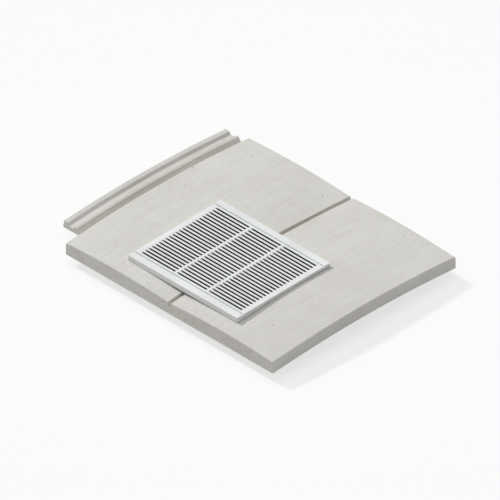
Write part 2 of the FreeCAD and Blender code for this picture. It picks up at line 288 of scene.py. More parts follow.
def places():
    """Places that the pieces share, worked out from the frame's tile and the settings."""
    tile, cover, _ = settings()
    at = SimpleNamespace()
    at.x_lap = tile_high.x
    at.x_side = at.x_lap - tile.face_width
    at.x_mid = (at.x_side + at.x_lap) / 2
    at.y_tail, at.y_head = tile_low.y, tile_high.y
    at.y_lock = at.y_tail + lock_setback
    at.y_nib = at.y_head - nib_from_head - nib_length
    at.edge_level = tile_high.z - tile.camber - tile.crown
    at.camber_radius = tile.tile_length ** 2 / (8 * tile.camber) + tile.camber / 2
    at.axis_level = at.edge_level + tile.camber - at.camber_radius
    at.y_cover = at.y_tail + cover.from_tail + cover.cover_length / 2
    ends = at.y_cover + np.array([-0.5, 0.5]) * cover.cover_length
    heights = carried_height(at, tile.crown, ends) + [cover.rise_front, cover.rise_rear]
    at.cover_level = heights.mean()
    at.cover_tilt = math.atan((heights[1] - heights[0]) / cover.cover_length)
    at.seat = np.array([cover.width, cover.cover_length]) / 2 - cover.skirt - seat_inset
    at.opening = at.seat - seat_ledge
    at.throat = at.opening - [throat_side_strip, throat_end_gap]
    at.flange = at.seat - flange_clearance
    at.flange_under = seal_thickness - seat_drop
    at.screws = np.array([at.opening[0] - boss_side_gap - boss_radius, at.throat[1] - screw_end_inset])
    return at


def carried_height(at, height, y):
    """Height of a point of the tile's section at y. The section turns about the camber's axis, so the
    point stays on a circle about it, whose radius is the camber's plus the point's own height."""
    return at.axis_level + np.sqrt((at.camber_radius + height) ** 2 - np.square(y))


def crown_height(at, x):
    """Height of the face over its edges. Each half is an arc of a circle across the tile."""
    tile = settings()[0]
    half = tile.face_width / 2
    radius = half ** 2 / (8 * tile.crown) + tile.crown / 2
    from_middle = np.abs(x - at.x_mid) - half / 2
    return np.sqrt(radius ** 2 - np.square(from_middle)) - radius + tile.crown


def on_cover_axes(at, points):
    """Points turned from the cover's axes, with the deck's top at zero height, and moved to the tile."""
    x, y, z = np.moveaxis(points, -1, 0)
    turn, rise = math.cos(at.cover_tilt), math.sin(at.cover_tilt)
    return np.stack([
        at.x_mid + x, at.y_cover + y * turn - z * rise, at.cover_level + y * rise + z * turn], -1)


def rounded_off(distance, radius):
    """Loss of height near an edge: the sagitta of a quarter circle that starts a radius before it."""
    inside = np.clip(1 - distance / radius, 0, 1)
    return radius * (1 - np.sqrt(1 - inside ** 2))


def edge_steps(radius, count=4):
    """Distances from an edge at even turns of a quarter circle."""
    return radius * (1 - np.cos(np.linspace(0, math.pi / 2, count + 1)))


def softened(points, radius, steps=3, closed=True):
    """Outline whose corners become parabolas. Each starts and ends a radius from its corner, along
    its two sides, or 0.45 of the shorter side if that is less. An open outline keeps its two ends."""
    points = np.asarray(points, float)
    before, after = np.roll(points, 1, 0) - points, np.roll(points, -1, 0) - points
    sizes = [np.linalg.norm(side, axis=1, keepdims=True) for side in (before, after)]
    reach = np.minimum(np.broadcast_to(radius, len(points))[:, None], 0.45 * np.minimum(*sizes))
    start, end = (points + side / size * reach for side, size in zip((before, after), sizes))
    t = np.linspace(0, 1, steps + 1)[None, :, None]
    curves = (1 - t) ** 2 * start[:, None] + 2 * t * (1 - t) * points[:, None] + t ** 2 * end[:, None]
    if not closed:
        return np.concatenate([points[:1], curves[1:-1].reshape(-1, points.shape[1]), points[-1:]])
    outline = curves.reshape(-1, points.shape[1])
    return outline[np.linalg.norm(outline - np.roll(outline, 1, 0), axis=1) > same_point]


def inset(outline, distance):
    """Closed outline moved inwards. Each point goes along the mean of its two sides' normals, by twice
    the distance at most."""
    side = np.roll(outline, -1, 0) - outline
    side /= np.linalg.norm(side, axis=1, keepdims=True)
    normal = np.stack([-side[:, 1], side[:, 0]], 1)
    mean = normal + np.roll(normal, 1, 0)
    mean /= np.maximum((mean * normal).sum(1), 0.5)[:, None]
    x, y = outline.T
    turn = np.sign((x * np.roll(y, -1) - y * np.roll(x, -1)).sum())
    return outline + turn * distance * mean


def loft(levels, corner_steps=6, side_steps=1):
    """Grid of points through rounded rectangles stacked in height. A level holds its half width, half
    length, corner radius and height. Four quarter circles stand in its corners, and even steps divide
    the straight sides between them."""
    half_width, half_length, corner, height = levels.T[:, :, None]
    quarters = []
    for quarter in range(4):
        turn = math.pi / 2 * (quarter + np.linspace(0, 1, corner_steps + 1))
        middle = turn[0] + math.pi / 4
        x = np.sign(math.cos(middle)) * (half_width - corner) + corner * np.cos(turn)
        y = np.sign(math.sin(middle)) * (half_length - corner) + corner * np.sin(turn)
        quarters.append(np.stack(np.broadcast_arrays(x, y, height), -1))
    share = np.linspace(0, 1, side_steps + 1)[1:-1, None]
    runs = []
    for quarter, following in zip(quarters, quarters[1:] + quarters[:1]):
        start, end = quarter[:, -1:], following[:, :1]
        runs += [quarter, start * (1 - share) + end * share]
    return np.concatenate(runs, 1)


def solid(name, grids, ring=False):
    """Closed mesh on one or several grids of points. Each row of a grid is a closed loop. The first and
    the last row are filled, or joined to each other where the solid is a ring."""
    grids = np.asarray(grids, float)
    grids = grids if grids.ndim == 4 else grids[None]
    count, rows, columns = grids.shape[:3]
    row, column = np.meshgrid(np.arange(rows if ring else rows - 1), np.arange(columns), indexing="ij")
    next_row, next_column = (row + 1) % rows, (column + 1) % columns
    quads = np.stack([
        row * columns + column, row * columns + next_column,
        next_row * columns + next_column, next_row * columns + column], -1).reshape(-1, 4)
    loop = np.arange(columns)
    faces = []
    for index in range(count):
        first = index * rows * columns
        faces += (quads + first).tolist()
        if not ring:
            faces += [(loop[::-1] + first).tolist(), (loop + first + (rows - 1) * columns).tolist()]
    mesh = bpy.data.meshes.new(name)
    mesh.from_pydata(grids.reshape(-1, 3).tolist(), [], faces)
    shape = bmesh.new()
    shape.from_mesh(mesh)
    bmesh.ops.recalc_face_normals(shape, faces=shape.faces)
    shape.to_mesh(mesh)
    shape.free()
    piece = bpy.data.objects.new(name, mesh)
    bpy.context.collection.objects.link(piece)
    return piece


def prism(name, outline, start, end, edge=0.0, at=None):
    """Outline of distances up the slope and heights, carried straight across from start to end, on the
    frame's axes or the cover's. Near each end it draws in along a quarter circle, smaller than the
    outline's own curves."""
    steps = edge_steps(edge, 3) if edge else np.zeros(1)
    loss = rounded_off(steps, edge) if edge else np.zeros(1)
    across = np.concatenate([start + steps, (end - steps)[::-1]])
    rows = np.array([
        np.column_stack([np.full(len(outline), x), inset(outline, d)])
        for x, d in zip(across, np.concatenate([loss, loss[::-1]]))])
    return solid(name, rows if at is None else on_cover_axes(at, rows))


def cylinder(name, radius, low, high, x, y, at):
    """Upright round bar on the cover's axes: two circles, joined."""
    turn = np.linspace(0, 2 * math.pi, circle_steps + 1)[:-1]
    row = (x + radius * np.cos(turn), y + radius * np.sin(turn))
    rows = [np.stack([*row, np.full(len(turn), z)], -1) for z in (low, high)]
    return solid(name, on_cover_axes(at, np.array(rows)))


def block(name, half_width, half_length, corner, low, high, at):
    """Upright rounded block on the cover's axes."""
    levels = np.array([[half_width, half_length, corner, z] for z in (low, high)])
    return solid(name, on_cover_axes(at, loft(levels)))


def upright(middle, half, low, high):
    """Corners of a rectangle in the upright plane up the slope."""
    return [(middle - half, low), (middle + half, low), (middle + half, high), (middle - half, high)]


def ring_section(outer, outer_corner, inner, inner_corner, low, high):
    """Levels round a ring's four-sided section, from its outer foot."""
    return np.array([
        (*outer, outer_corner, low), (*outer, outer_corner, high),
        (*inner, inner_corner, high), (*inner, inner_corner, low)])


def moulded_ring(name, levels, at, soft=moulded_edge, **steps):
    """Ring on the cover's axes, through levels that run round its section with softened corners."""
    return solid(name, on_cover_axes(at, loft(softened(levels, soft, **steps))), ring=True)


def combine(piece, operation, *tools):
    """Adds, cuts or intersects closed tools with a piece, and then removes them."""
    for tool in tools:
        change = piece.modifiers.new(tool.name, "BOOLEAN")
        change.operation = operation
        change.solver = "MANIFOLD"
        change.object = tool
    result = bpy.data.meshes.new_from_object(
        piece.evaluated_get(bpy.context.evaluated_depsgraph_get()))
    piece.modifiers.clear()
    old = piece.data
    piece.data = result
    bpy.data.meshes.remove(old)
    for tool in tools:
        bpy.data.meshes.remove(tool.data)
    return piece


def finish_piece(piece, name, material, node):
    piece.name = name
    mesh = piece.data
    mesh.polygons.foreach_set("use_smooth", np.ones(len(mesh.polygons), bool))
    mesh.set_sharp_from_angle(angle=sharp_angle)
    mesh.materials.clear()
    mesh.materials.append(material)
    weighted = piece.modifiers.new("even_shading", "WEIGHTED_NORMAL")
    weighted.keep_sharp = True
    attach(piece, "root")
    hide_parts(node)


def add(tree, kind, inputs, **values):
    """Adds a shader node, sets its values, and links or sets its inputs. A node given as an input
    stands for its first output."""
    node = tree.nodes.new("ShaderNode" + kind)
    for name, value in values.items():
        setattr(node, name, value)
    for name, value in inputs.items():
        if isinstance(value, bpy.types.Node):
            value = value.outputs[0]
        if isinstance(value, bpy.types.NodeSocket):
            tree.links.new(value, node.inputs[name])
        else:
            node.inputs[name].default_value = value
    return node


def new_material(name):
    """Empty node material with its output, and the Object coordinates that its patterns read."""
    material = bpy.data.materials.get(name) or bpy.data.materials.new(name)
    material.use_nodes = True
    tree = material.node_tree
    tree.nodes.clear()
    return material, tree, add(tree, "OutputMaterial", {}), add(tree, "TexCoord", {}).outputs["Object"]


def cast_concrete():
    """Extruded concrete, dry and matt. The roller leaves a smooth face of pale paste with faint drag
    marks up the slope, fine sand and a few pinholes, and the knife leaves the two ends coarse. The
    pinholes are coloured darker than the sand, as painted shade inside them."""
    finish = settings()[2]
    material, tree, output, point = new_material("extruded_concrete")
    stretched = add(tree, "Mapping", {"Vector": point, "Scale": (1, 0.04, 1)})
    # Damp patches, drag marks and sand: size, detail, roughness, the range that shows, and how dark.
    # The sand is under 1 mm, drawn as clumps of 2 mm so that it shows
    patterns, shades = [], []
    for vector, size, detail, grain, low, high, dark in (
            (point, 55 * mm, 3.0, 0.55, 0.35, 0.75, 0.2),
            (stretched, 4 * mm, 3.0, 0.6, 0.35, 0.7, 0.14),
            (point, 2.2 * mm, 4.0, 0.75, 0.52, 0.75, 0.4)):
        patterns.append(add(tree, "TexNoise", {
            "Vector": vector, "Scale": 1 / size, "Detail": detail, "Roughness": grain}))
        shades.append(add(tree, "MapRange", {
            "Value": patterns[-1], "From Min": low, "From Max": high, "To Min": 0.0, "To Max": dark}))
    _, drag, sand = patterns
    grains, bubbles = (
        add(tree, "TexVoronoi", {"Vector": point, "Scale": 1 / size, "Randomness": 1.0}, feature="F1")
        for size in (1.5 * mm, 10 * mm))
    # The two ends face along Y
    facing = add(tree, "SeparateXYZ", {0: add(tree, "NewGeometry", {}).outputs["True Normal"]})
    turned = add(tree, "Math", {0: facing.outputs[1]}, operation="ABSOLUTE")
    cut = add(tree, "MapRange", {
        "Value": turned, "From Min": 0.75, "From Max": 0.95, "To Min": 0.0, "To Max": 1.0})
    rough = add(tree, "Math", {0: cut, 1: grains.outputs["Color"]}, operation="MULTIPLY")
    shade = shades[0]
    for layer in (*shades[1:], add(tree, "Math", {0: rough, 1: 0.4}, operation="MULTIPLY")):
        shade = add(tree, "Math", {0: shade, 1: layer}, operation="ADD")
    paste = add(tree, "Mix", {
        "Factor": shade, 6: (*finish.concrete, 1), 7: (*finish.sand, 1)}, data_type="RGBA")
    # About three bubbles in ten reach the face, with a radius of up to 0.7 mm
    radius = add(tree, "MapRange", {
        "Value": bubbles.outputs["Color"], "From Min": 0.55, "From Max": 0.9,
        "To Min": -0.04, "To Max": 0.07})
    from_rim = add(tree, "Math", {0: bubbles, 1: radius}, operation="SUBTRACT")
    hole = add(tree, "MapRange", {
        "Value": from_rim, "From Min": 0.0, "From Max": 0.035, "To Min": 0.0, "To Max": 1.0})
    # Painted shade: each pinhole is coloured darker than the sand, standing in for the shade inside it
    paste_with_painted_pinhole_shade = add(tree, "Mix", {
        "Factor": hole, 6: (*[0.6 * c for c in finish.sand], 1), 7: paste.outputs[2]}, data_type="RGBA")
    relief = add(tree, "Math", {0: grains, 1: 0.25, 2: sand}, operation="MULTIPLY_ADD")
    coarse = add(tree, "MapRange", {
        "Value": cut, "From Min": 0.0, "From Max": 1.0, "To Min": 0.5, "To Max": 1.8})
    scaled = add(tree, "Math", {0: relief, 1: coarse}, operation="MULTIPLY")
    sandy = add(tree, "Bump", {"Height": scaled, "Strength": 0.4, "Distance": 0.4 * mm})
    dragged = add(tree, "Bump", {
        "Height": drag, "Strength": 0.3, "Distance": 0.4 * mm, "Normal": sandy})
    holed = add(tree, "Bump", {
        "Height": hole, "Strength": 0.8, "Distance": 0.6 * mm, "Normal": dragged})
    shader = add(tree, "BsdfPrincipled", {
        "Base Color": paste_with_painted_pinhole_shade.outputs[2], "Roughness": 0.92, "Specular IOR Level": 0.25, "Normal": holed})
    tree.links.new(shader.outputs[0], output.inputs[0])
    return material


def moulded_plastic(name, base, grain, roughness):
    """Injection-moulded plastic from a spark-eroded tool: one even colour, a fine matt grain and a
    soft sheen."""
    material, tree, output, point = new_material(name)
    # The tool's grain is under 0.1 mm, drawn at about 1 mm so that it shows
    erosion = add(tree, "TexNoise", {
        "Vector": point, "Scale": 1 / grain, "Detail": 3.0, "Roughness": 0.6})
    flow = add(tree, "TexNoise", {
        "Vector": point, "Scale": 1 / (40 * mm), "Detail": 2.0, "Roughness": 0.5})
    tone = add(tree, "MapRange", {
        "Value": flow, "From Min": 0.3, "From Max": 0.7, "To Min": 0.93, "To Max": 1.03})
    tinted = add(tree, "Mix", {
        "Factor": 1.0, 6: (*base, 1), 7: tone}, data_type="RGBA", blend_type="MULTIPLY")
    gloss = add(tree, "MapRange", {
        "Value": erosion, "From Min": 0.3, "From Max": 0.7,
        "To Min": roughness - 0.06, "To Max": roughness + 0.06})
    bump = add(tree, "Bump", {"Height": erosion, "Strength": 0.25, "Distance": 0.08 * mm})
    shader = add(tree, "BsdfPrincipled", {
        "Base Color": tinted.outputs[2], "Roughness": gloss, "IOR": 1.5, "Normal": bump})
    tree.links.new(shader.outputs[0], output.inputs[0])
    return material


def pale_plastic():
    """Moulded ASA of the cover, which keeps its pale grey out of doors."""
    return moulded_plastic(
        "light_grey_moulded_asa", settings()[2].grille, grain=0.8 * mm, roughness=0.5)


def black_plastic():
    """Moulded polypropylene of the fittings, with a coarser grain."""
    return moulded_plastic(
        "black_moulded_polypropylene", settings()[2].fittings, grain=1.2 * mm, roughness=0.46)


def sponge_rubber():
    """Extruded sponge rubber with its skin cut off: near black, dead matt, full of open cells. Each
    cell is coloured darker towards its hollow, as painted shade.
    """
    material, tree, output, point = new_material("cut_sponge_rubber")
    cells = add(tree, "TexVoronoi", {
        "Vector": point, "Scale": 1 / (0.9 * mm), "Randomness": 1.0}, feature="F1")
    # Cell depth drives the bump and also painted shade: the colour darkens towards each cell's hollow
    depth = add(tree, "MapRange", {
        "Value": cells, "From Min": 0.1, "From Max": 0.6, "To Min": 0.35, "To Max": 1.0})
    tinted = add(tree, "Mix", {
        "Factor": 1.0, 6: (*settings()[2].foam, 1), 7: depth}, data_type="RGBA", blend_type="MULTIPLY")
    bump = add(tree, "Bump", {"Height": depth, "Strength": 0.8, "Distance": 0.3 * mm})
    shader = add(tree, "BsdfPrincipled", {
        "Base Color": tinted.outputs[2], "Roughness": 0.97, "Specular IOR Level": 0.15, "Normal": bump})
    tree.links.new(shader.outputs[0], output.inputs[0])
    return material


def stainless_steel():
    """Cold-headed and rolled stainless steel: bright, with faint marks of the dies."""
    material, tree, output, point = new_material("cold_headed_stainless_steel")
    marks = add(tree, "TexNoise", {
        "Vector": point, "Scale": 1 / (0.6 * mm), "Detail": 3.0, "Roughness": 0.6})
    gloss = add(tree, "MapRange", {
        "Value": marks, "From Min": 0.3, "From Max": 0.7, "To Min": 0.24, "To Max": 0.4})
    bump = add(tree, "Bump", {"Height": marks, "Strength": 0.15, "Distance": 0.03 * mm})
    shader = add(tree, "BsdfPrincipled", {
        "Base Color": (*settings()[2].steel, 1), "Metallic": 1.0, "Roughness": gloss, "Normal": bump})
    tree.links.new(shader.outputs[0], output.inputs[0])
    return material


def even_steps(margin, total):
    """Even steps between the two margins of a length, without the margins' own ends."""
    return np.linspace(margin, total - margin, round(total / face_step))[1:-1]


def carried(name, at, x, y, height):
    """Solid on a grid of distances across and heights over the face's edge, carried along the camber."""
    return solid(name, np.stack(np.broadcast_arrays(x, y, carried_height(at, height, y)), -1))


def slab(at):
    """Double-width slab on one grid: loops round its section, carried along the camber. The section is
    the crowned face, two upright sides and the flat underside. The face loses height by the sagitta
    of the arris near its four edges, and the underside gains it by that of its smaller edge."""
    tile = settings()[0]
    width, run = tile.face_width, tile.tile_length
    across, under_across = edge_steps(tile.arris), edge_steps(cast_edge, 3)
    top_side = np.concatenate([across, even_steps(tile.arris, width), (width - across)[::-1]])
    under_side = np.concatenate([under_across, (width - under_across)[::-1]])[::-1]
    x = at.x_side + np.concatenate([top_side, under_side])
    height = np.concatenate([
        crown_height(at, at.x_side + top_side)
        - rounded_off(np.minimum(top_side, width - top_side), tile.arris),
        rounded_off(np.minimum(under_side, width - under_side), cast_edge) - tile.thickness])
    is_top = np.arange(len(x)) < len(top_side)
    along = np.concatenate([across, under_across[1:]])
    from_tail = np.concatenate([along, even_steps(tile.arris, run), run - along])
    from_tail = np.unique(from_tail.round(7))[:, None]
    y = at.y_tail + from_tail
    from_end = np.minimum(from_tail, run - from_tail)
    # Extrusion leaves the face uneven by one or two tenths of a millimetre
    wave = wave_height * sum(np.sin(x / wide + y / long + start) for wide, long, start in waves)
    height = np.where(
        is_top, height - rounded_off(from_end, tile.arris) + wave - wave_drop,
        height + rounded_off(from_end, cast_edge))
    return carried("slab", at, x, y, height)


def carried_outline(name, at, outline, y_start, y_end):
    """Outline of distances across and heights over the face's edge, carried along the camber."""
    count = max(2, round((y_end - y_start) / carry_step))
    x, height = np.asarray(outline).T
    return carried(name, at, x, np.linspace(y_start, y_end, count)[:, None], height)


def lap_levels():
    """Distances of the underlock's ribs from the tile's side, from the outermost inwards."""
    outer_rib_in = lock_reach - outer_rib_width
    channel_in = outer_rib_in - outer_channel_width
    inner_rib_in = channel_in - inner_rib_width
    return outer_rib_in, channel_in, inner_rib_in, inner_rib_in - rib_lean


def underlock(at):
    """Ribs and channels beside the slab, as one softened outline carried along the camber."""
    tile = settings()[0]
    outer_rib_in, channel_in, inner_rib_in, shoulder_in = lap_levels()
    main_drop = tile.thickness + floor_clearance
    lock_drop = main_drop + lock_floor
    slope = (shoulder_in - main_channel_width) / (main_drop - shoulder_drop)
    root_drop = tile.thickness - 2 * floor_clearance
    foot = main_channel_width + lock_floor
    corners = [
        (lock_reach, tile.thickness - toe_height), (lock_reach, rib_drop),
        (outer_rib_in, rib_drop + outer_rib_fall), (outer_rib_in - channel_draft, outer_channel_drop),
        (channel_in + channel_draft, outer_channel_drop + outer_channel_fall), (channel_in, rib_drop),
        (inner_rib_in, rib_drop + inner_rib_fall), (shoulder_in, shoulder_drop),
        (main_channel_width, main_drop), (0, main_drop), (0, root_drop), (-lock_root, root_drop),
        (-root_flat, lock_drop), (foot, lock_drop),
        (foot + slope * (lock_drop - tile.thickness), tile.thickness),
        (lock_reach + toe_reach, tile.thickness), (lock_reach + toe_reach, tile.thickness - toe_height)]
    soft = np.full(len(corners), cast_edge)
    soft[9:12] = 0  # the corners inside the slab
    soft[-2] = 2 * toe_reach
    outline = softened([(at.x_side - out, -drop) for out, drop in corners], soft)
    return carried_outline("underlock", at, outline, at.y_lock, at.y_head)


def lap_recess(at):
    """Space under the right edge for the next tile's ribs, a clearance larger all round."""
    tile = settings()[0]
    outer_rib_in, channel_in, inner_rib_in, shoulder_in = lap_levels()
    web, rib_end = rib_drop - lap_clearance, outer_channel_drop - lap_clearance
    foot, back = main_channel_width - lap_clearance, lock_reach + toe_reach + lap_clearance
    corners = [
        (foot, tile.thickness), (shoulder_in - lean_clearance, shoulder_drop),
        (inner_rib_in - lean_clearance, web), (channel_in + lap_clearance, web),
        (channel_in + channel_draft + lap_clearance, rib_end + outer_channel_fall),
        (outer_rib_in - channel_draft - lap_clearance, rib_end), (outer_rib_in - lap_clearance, web),
        (back, web), (back, 2 * tile.thickness), (foot, 2 * tile.thickness)]
    x_next = at.x_lap + joint_gap
    outline = softened([(x_next - out, -drop) for out, drop in corners], recess_soft)
    return carried_outline("lap_recess", at, outline, at.y_lock - end_clearance, at.y_head + past)


def bond_grooves(at):
    """Round-bottomed groove in two runs, before and behind the seat: two upright sides joined by a
    half circle, with its mouth flared by a small chamfer."""
    tile = settings()[0]
    radius = tile.groove_width / 2
    turn = np.linspace(math.pi, 2 * math.pi, half_turn_steps + 1)
    x = np.concatenate([radius * np.cos(turn), [radius, radius + past, -radius - past, -radius]])
    height = np.concatenate([
        radius - tile.groove_depth + radius * np.sin(turn),
        np.array([0, past, past, 0]) - groove_flare])
    outline = np.column_stack([at.x_mid + x, height])
    seat = at.y_cover + at.seat[1] * np.array([-1, 1])
    return [
        carried_outline("groove_front", at, outline, at.y_tail - past, seat[0] + past / 4),
        carried_outline("groove_rear", at, outline, seat[1] - past / 4, at.y_head + past)]


def nibs_and_bars(at):
    """Two nibs with their batten pads, and two weather bars across the tail: softened outlines in the
    upright plane up the slope, carried straight across."""
    tile = settings()[0]
    root = at.edge_level - tile.thickness / 2
    nib = softened([
        (at.y_nib - pad_length, root), (at.y_nib - pad_length, nib_depth), (at.y_nib, nib_depth),
        (at.y_nib, 0), (at.y_nib + nib_length - nib_draft, 0), (at.y_nib + nib_length, root)], nib_soft)
    found = []
    for side in (-1, 1):
        middle, half = at.x_mid + side * nib_spacing / 2, nib_width / 2
        found.append(prism("nib", nib, middle - half, middle + half, nib_end_edge))
    for row in range(2):
        y = at.y_tail + bar_from_tail + row * bar_pitch
        under = carried_height(at, -tile.thickness, y)
        low, half = under - bar_depth, bar_width / 2
        bar = softened([
            (y - half - bar_draft, under + past), (y - half, low),
            (y + half, low), (y + half + bar_draft, under + past)], bar_soft)
        found.append(prism(
            "bar", bar, at.x_side + bar_end_margin, at.x_lap - bar_end_margin, bar_end_edge))
    return found


class MESH_OT_vent_tile(bpy.types.Operator):
    """Casts the concrete tile with its side lap, groove, nibs and opening"""
    bl_idname = "mesh.vent_tile"
    bl_label = "Concrete tile"

    def execute(self, context):
        at = places()
        tile = slab(at)
        combine(tile, "UNION", underlock(at), *nibs_and_bars(at))
        seat = block("seat", *at.seat, opening_corner, -seat_drop, cut_above, at)
        opening = block("opening", *at.opening, opening_corner, -cut_below, cut_above, at)
        combine(tile, "DIFFERENCE", lap_recess(at), *bond_grooves(at), seat, opening)
        finish_piece(tile, "cast_tile", cast_concrete(), "concrete_tile")
        return {"FINISHED"}


def foot_heights(at, path):
    """Height of the skirt's foot under the deck's top, round its path. It follows the tile at a
    clearance, and is straight along the front."""
    cover = settings()[1]
    x, y = path[..., 0] + at.x_mid, path[..., 1] * math.cos(at.cover_tilt) + at.y_cover
    face = carried_height(at, crown_height(at, x) + cover.clearance, y)
    height = (face - at.cover_level - path[..., 1] * math.sin(at.cover_tilt)) / math.cos(at.cover_tilt)
    front = path[..., 1] < cover.skirt - cover.cover_length / 2 + near
    return np.where(front, np.maximum(height, cover.clearance - cover.rise_front), height)


def cover_shell(at):
    """Deck and skirt on one grid: rounded rectangles from the deck's underside down inside the skirt,
    round its foot, up outside it and over the top edge. Heights along the skirt are stretched so
    that the foot lands at its own height."""
    cover = settings()[1]
    half = np.array([cover.width, cover.cover_length]) / 2
    levels = np.array([
        (*(half - cover.skirt), cover.inner_corner, -cover.deck),
        (*(half - cover.skirt), cover.inner_corner, nominal_foot),
        (*half, cover.corner, nominal_foot), (*half, cover.corner, 0),
        (*(half - 2 * cover.skirt), cover.inner_corner, 0)])
    soft = np.array([0, foot_soft, foot_soft, radius_reach * cover.edge, 0])
    grid = loft(softened(levels, soft, steps=4, closed=False), side_steps=skirt_steps)
    grid[1:, :, 2] *= (foot_heights(at, grid[..., :2]) / nominal_foot)[1:]
    return solid("shell", on_cover_axes(at, grid))


def slot_cutters(at):
    """All slots at once. Each is a lying stadium, two half circles and two straight sides, drawn down
    through the deck at the slots' lean, with a chamfer round its top."""
    cover = settings()[1]
    run = cover.cover_length - 2 * cover.slot_end_margin - cover.slot_width
    rows = math.floor(run / cover.slot_pitch) + 1
    y = (np.arange(rows) - (rows - 1) / 2) * cover.slot_pitch
    field = cover.width - 2 * cover.slot_side_margin
    outer = (field - cover.middle_slot) / 2 - cover.column_rib
    lengths = np.array([outer, cover.middle_slot, outer])
    x = np.array([(outer - field) / 2, 0, (field - outer) / 2])
    half, half_turn = cover.slot_width / 2, half_turn_steps + 1
    turn = np.linspace(-math.pi / 2, 1.5 * math.pi, 2 * half_turn - 1)[:-1]
    turn = np.concatenate([turn[:half_turn], turn[half_turn - 1:], turn[:1]])
    side = np.where(np.arange(len(turn)) < half_turn, 1, -1)
    height = np.array([slot_cut_height, -cover.slot_chamfer, -cover.deck - past])
    radius = (half + np.array([slot_cut_height + cover.slot_chamfer, 0, 0]))[:, None]
    shape_y = radius * np.sin(turn) - (height * math.tan(cover.slot_lean))[:, None]
    straight = (lengths / 2 - half)[:, None, None]
    shape_x = straight * side + radius * np.cos(turn)
    grid = np.stack(np.broadcast_arrays(
        x[:, None, None] + shape_x, y[:, None, None, None] + shape_y, height[:, None]), -1)
    return solid("slots", on_cover_axes(at, grid.reshape(-1, *grid.shape[2:])))


def snap_hooks(at):
    """Four hooks under the deck: an arm down past the flange's edge and a catch under the flange."""
    cover = settings()[1]
    arm_in = at.flange[1] + hook_gap
    arm_out, catch_in = arm_in + hook_wall, arm_in - hook_catch
    root, catch_top = past - cover.deck, at.flange_under - hook_gap / 2
    low = catch_top - hook_catch_height
    hooks = []
    for end in (-1, 1):
        outline = softened(np.array([
            (arm_in, root), (arm_in, catch_top), (catch_in, catch_top),
            (arm_in - hook_catch / 3, low), (arm_out, low), (arm_out, root)]) * [end, 1], hook_soft)
        for side in (-1, 1):
            middle = side * (cover.width / 2 - hook_inset)
            hooks.append(prism(
                "hook", outline, middle - hook_width / 2, middle + hook_width / 2, hook_end_edge, at))
    return hooks


def margin_lines(at):
    """Two shallow lines across the cover, with drafted sides."""
    cover = settings()[1]
    half, reach = cover.margin_width / 2, cover.width / 2 + past
    outline = np.array([
        (-half - line_draft, past), (line_draft - half, -cover.margin_depth),
        (half - line_draft, -cover.margin_depth), (half + line_draft, past)])
    from_middle = cover.cover_length / 2 - cover.margin_line
    return [
        prism("line", outline + [y, 0], -reach, reach, at=at) for y in (-from_middle, from_middle)]


class MESH_OT_vent_grille(bpy.types.Operator):
    """Moulds the grille cover with its skirt, slots, shadow lines and hooks"""
    bl_idname = "mesh.vent_grille"
    bl_label = "Grille cover"

    def execute(self, context):
        at = places()
        shell = cover_shell(at)
        combine(shell, "UNION", *snap_hooks(at))
        combine(shell, "DIFFERENCE", slot_cutters(at), *margin_lines(at))
        finish_piece(shell, "moulded_grille", pale_plastic(), "grille_cover")
        return {"FINISHED"}


def throat_body(at):
    """Weir, flange, duct and inner ledge as one ring: rounded rectangles that run down outside, round
    the flange, and up inside, with their corners softened."""
    cover = settings()[1]
    out, bore = at.throat, at.throat - throat_wall
    bore_corner = throat_corner - throat_wall
    weir_top = -cover.deck - weir_gap
    flange_top = at.flange_under + flange_thickness
    ledge = bore - ledge_width
    ledge_corner = bore_corner - ledge_width
    levels = np.array([
        (*out, throat_corner, weir_top), (*out, throat_corner, flange_top),
        (*at.flange, opening_corner, flange_top), (*at.flange, opening_corner, at.flange_under),
        (*out, throat_corner, at.flange_under), (*out, throat_corner, -throat_end_drop),
        (*bore, bore_corner, -throat_end_drop), (*bore, bore_corner, -ledge_drop - ledge_height),
        (*ledge, ledge_corner, -ledge_drop - ledge_height), (*ledge, ledge_corner, -ledge_drop),
        (*bore, bore_corner, -ledge_drop), (*bore, bore_corner, weir_top)])
    return moulded_ring("throat", levels, at)


def screw_places(at):
    """Name ends and places of the four screws on the cover's axes."""
    x, y = at.screws
    return (("front_left", -x, -y), ("front_right", x, -y), ("rear_left", -x, y), ("rear_right", x, y))


class MESH_OT_vent_throat(bpy.types.Operator):
    """Moulds the throat frame with its flange, ledge, bosses and webs"""
    bl_idname = "mesh.vent_throat"
    bl_label = "Throat frame"

    def execute(self, context):
        at = places()
        throat = throat_body(at)
        boss_end = boss_gap - backing_drop
        boss_top = at.flange_under + flange_thickness / 2
        pilot_end = screw_length + screw_tip_room - backing_drop - backing_thickness
        added, cut = [], []
        for _, x, y in screw_places(at):
            added.append(cylinder("boss", boss_radius, boss_end, boss_top, x, y, at))
            web_end = math.copysign(at.throat[0] - throat_wall / 2, x)
            outline = softened(upright(y, web_thickness / 2, boss_end, boss_top), moulded_edge)
            added.append(prism("web", outline, min(x, web_end), max(x, web_end), at=at))
            cut.append(cylinder("pilot", screw_radius, boss_end - past, pilot_end, x, y, at))
        combine(throat, "UNION", *added)
        combine(throat, "DIFFERENCE", *cut)
        finish_piece(throat, "moulded_throat", black_plastic(), "throat_frame")
        return {"FINISHED"}


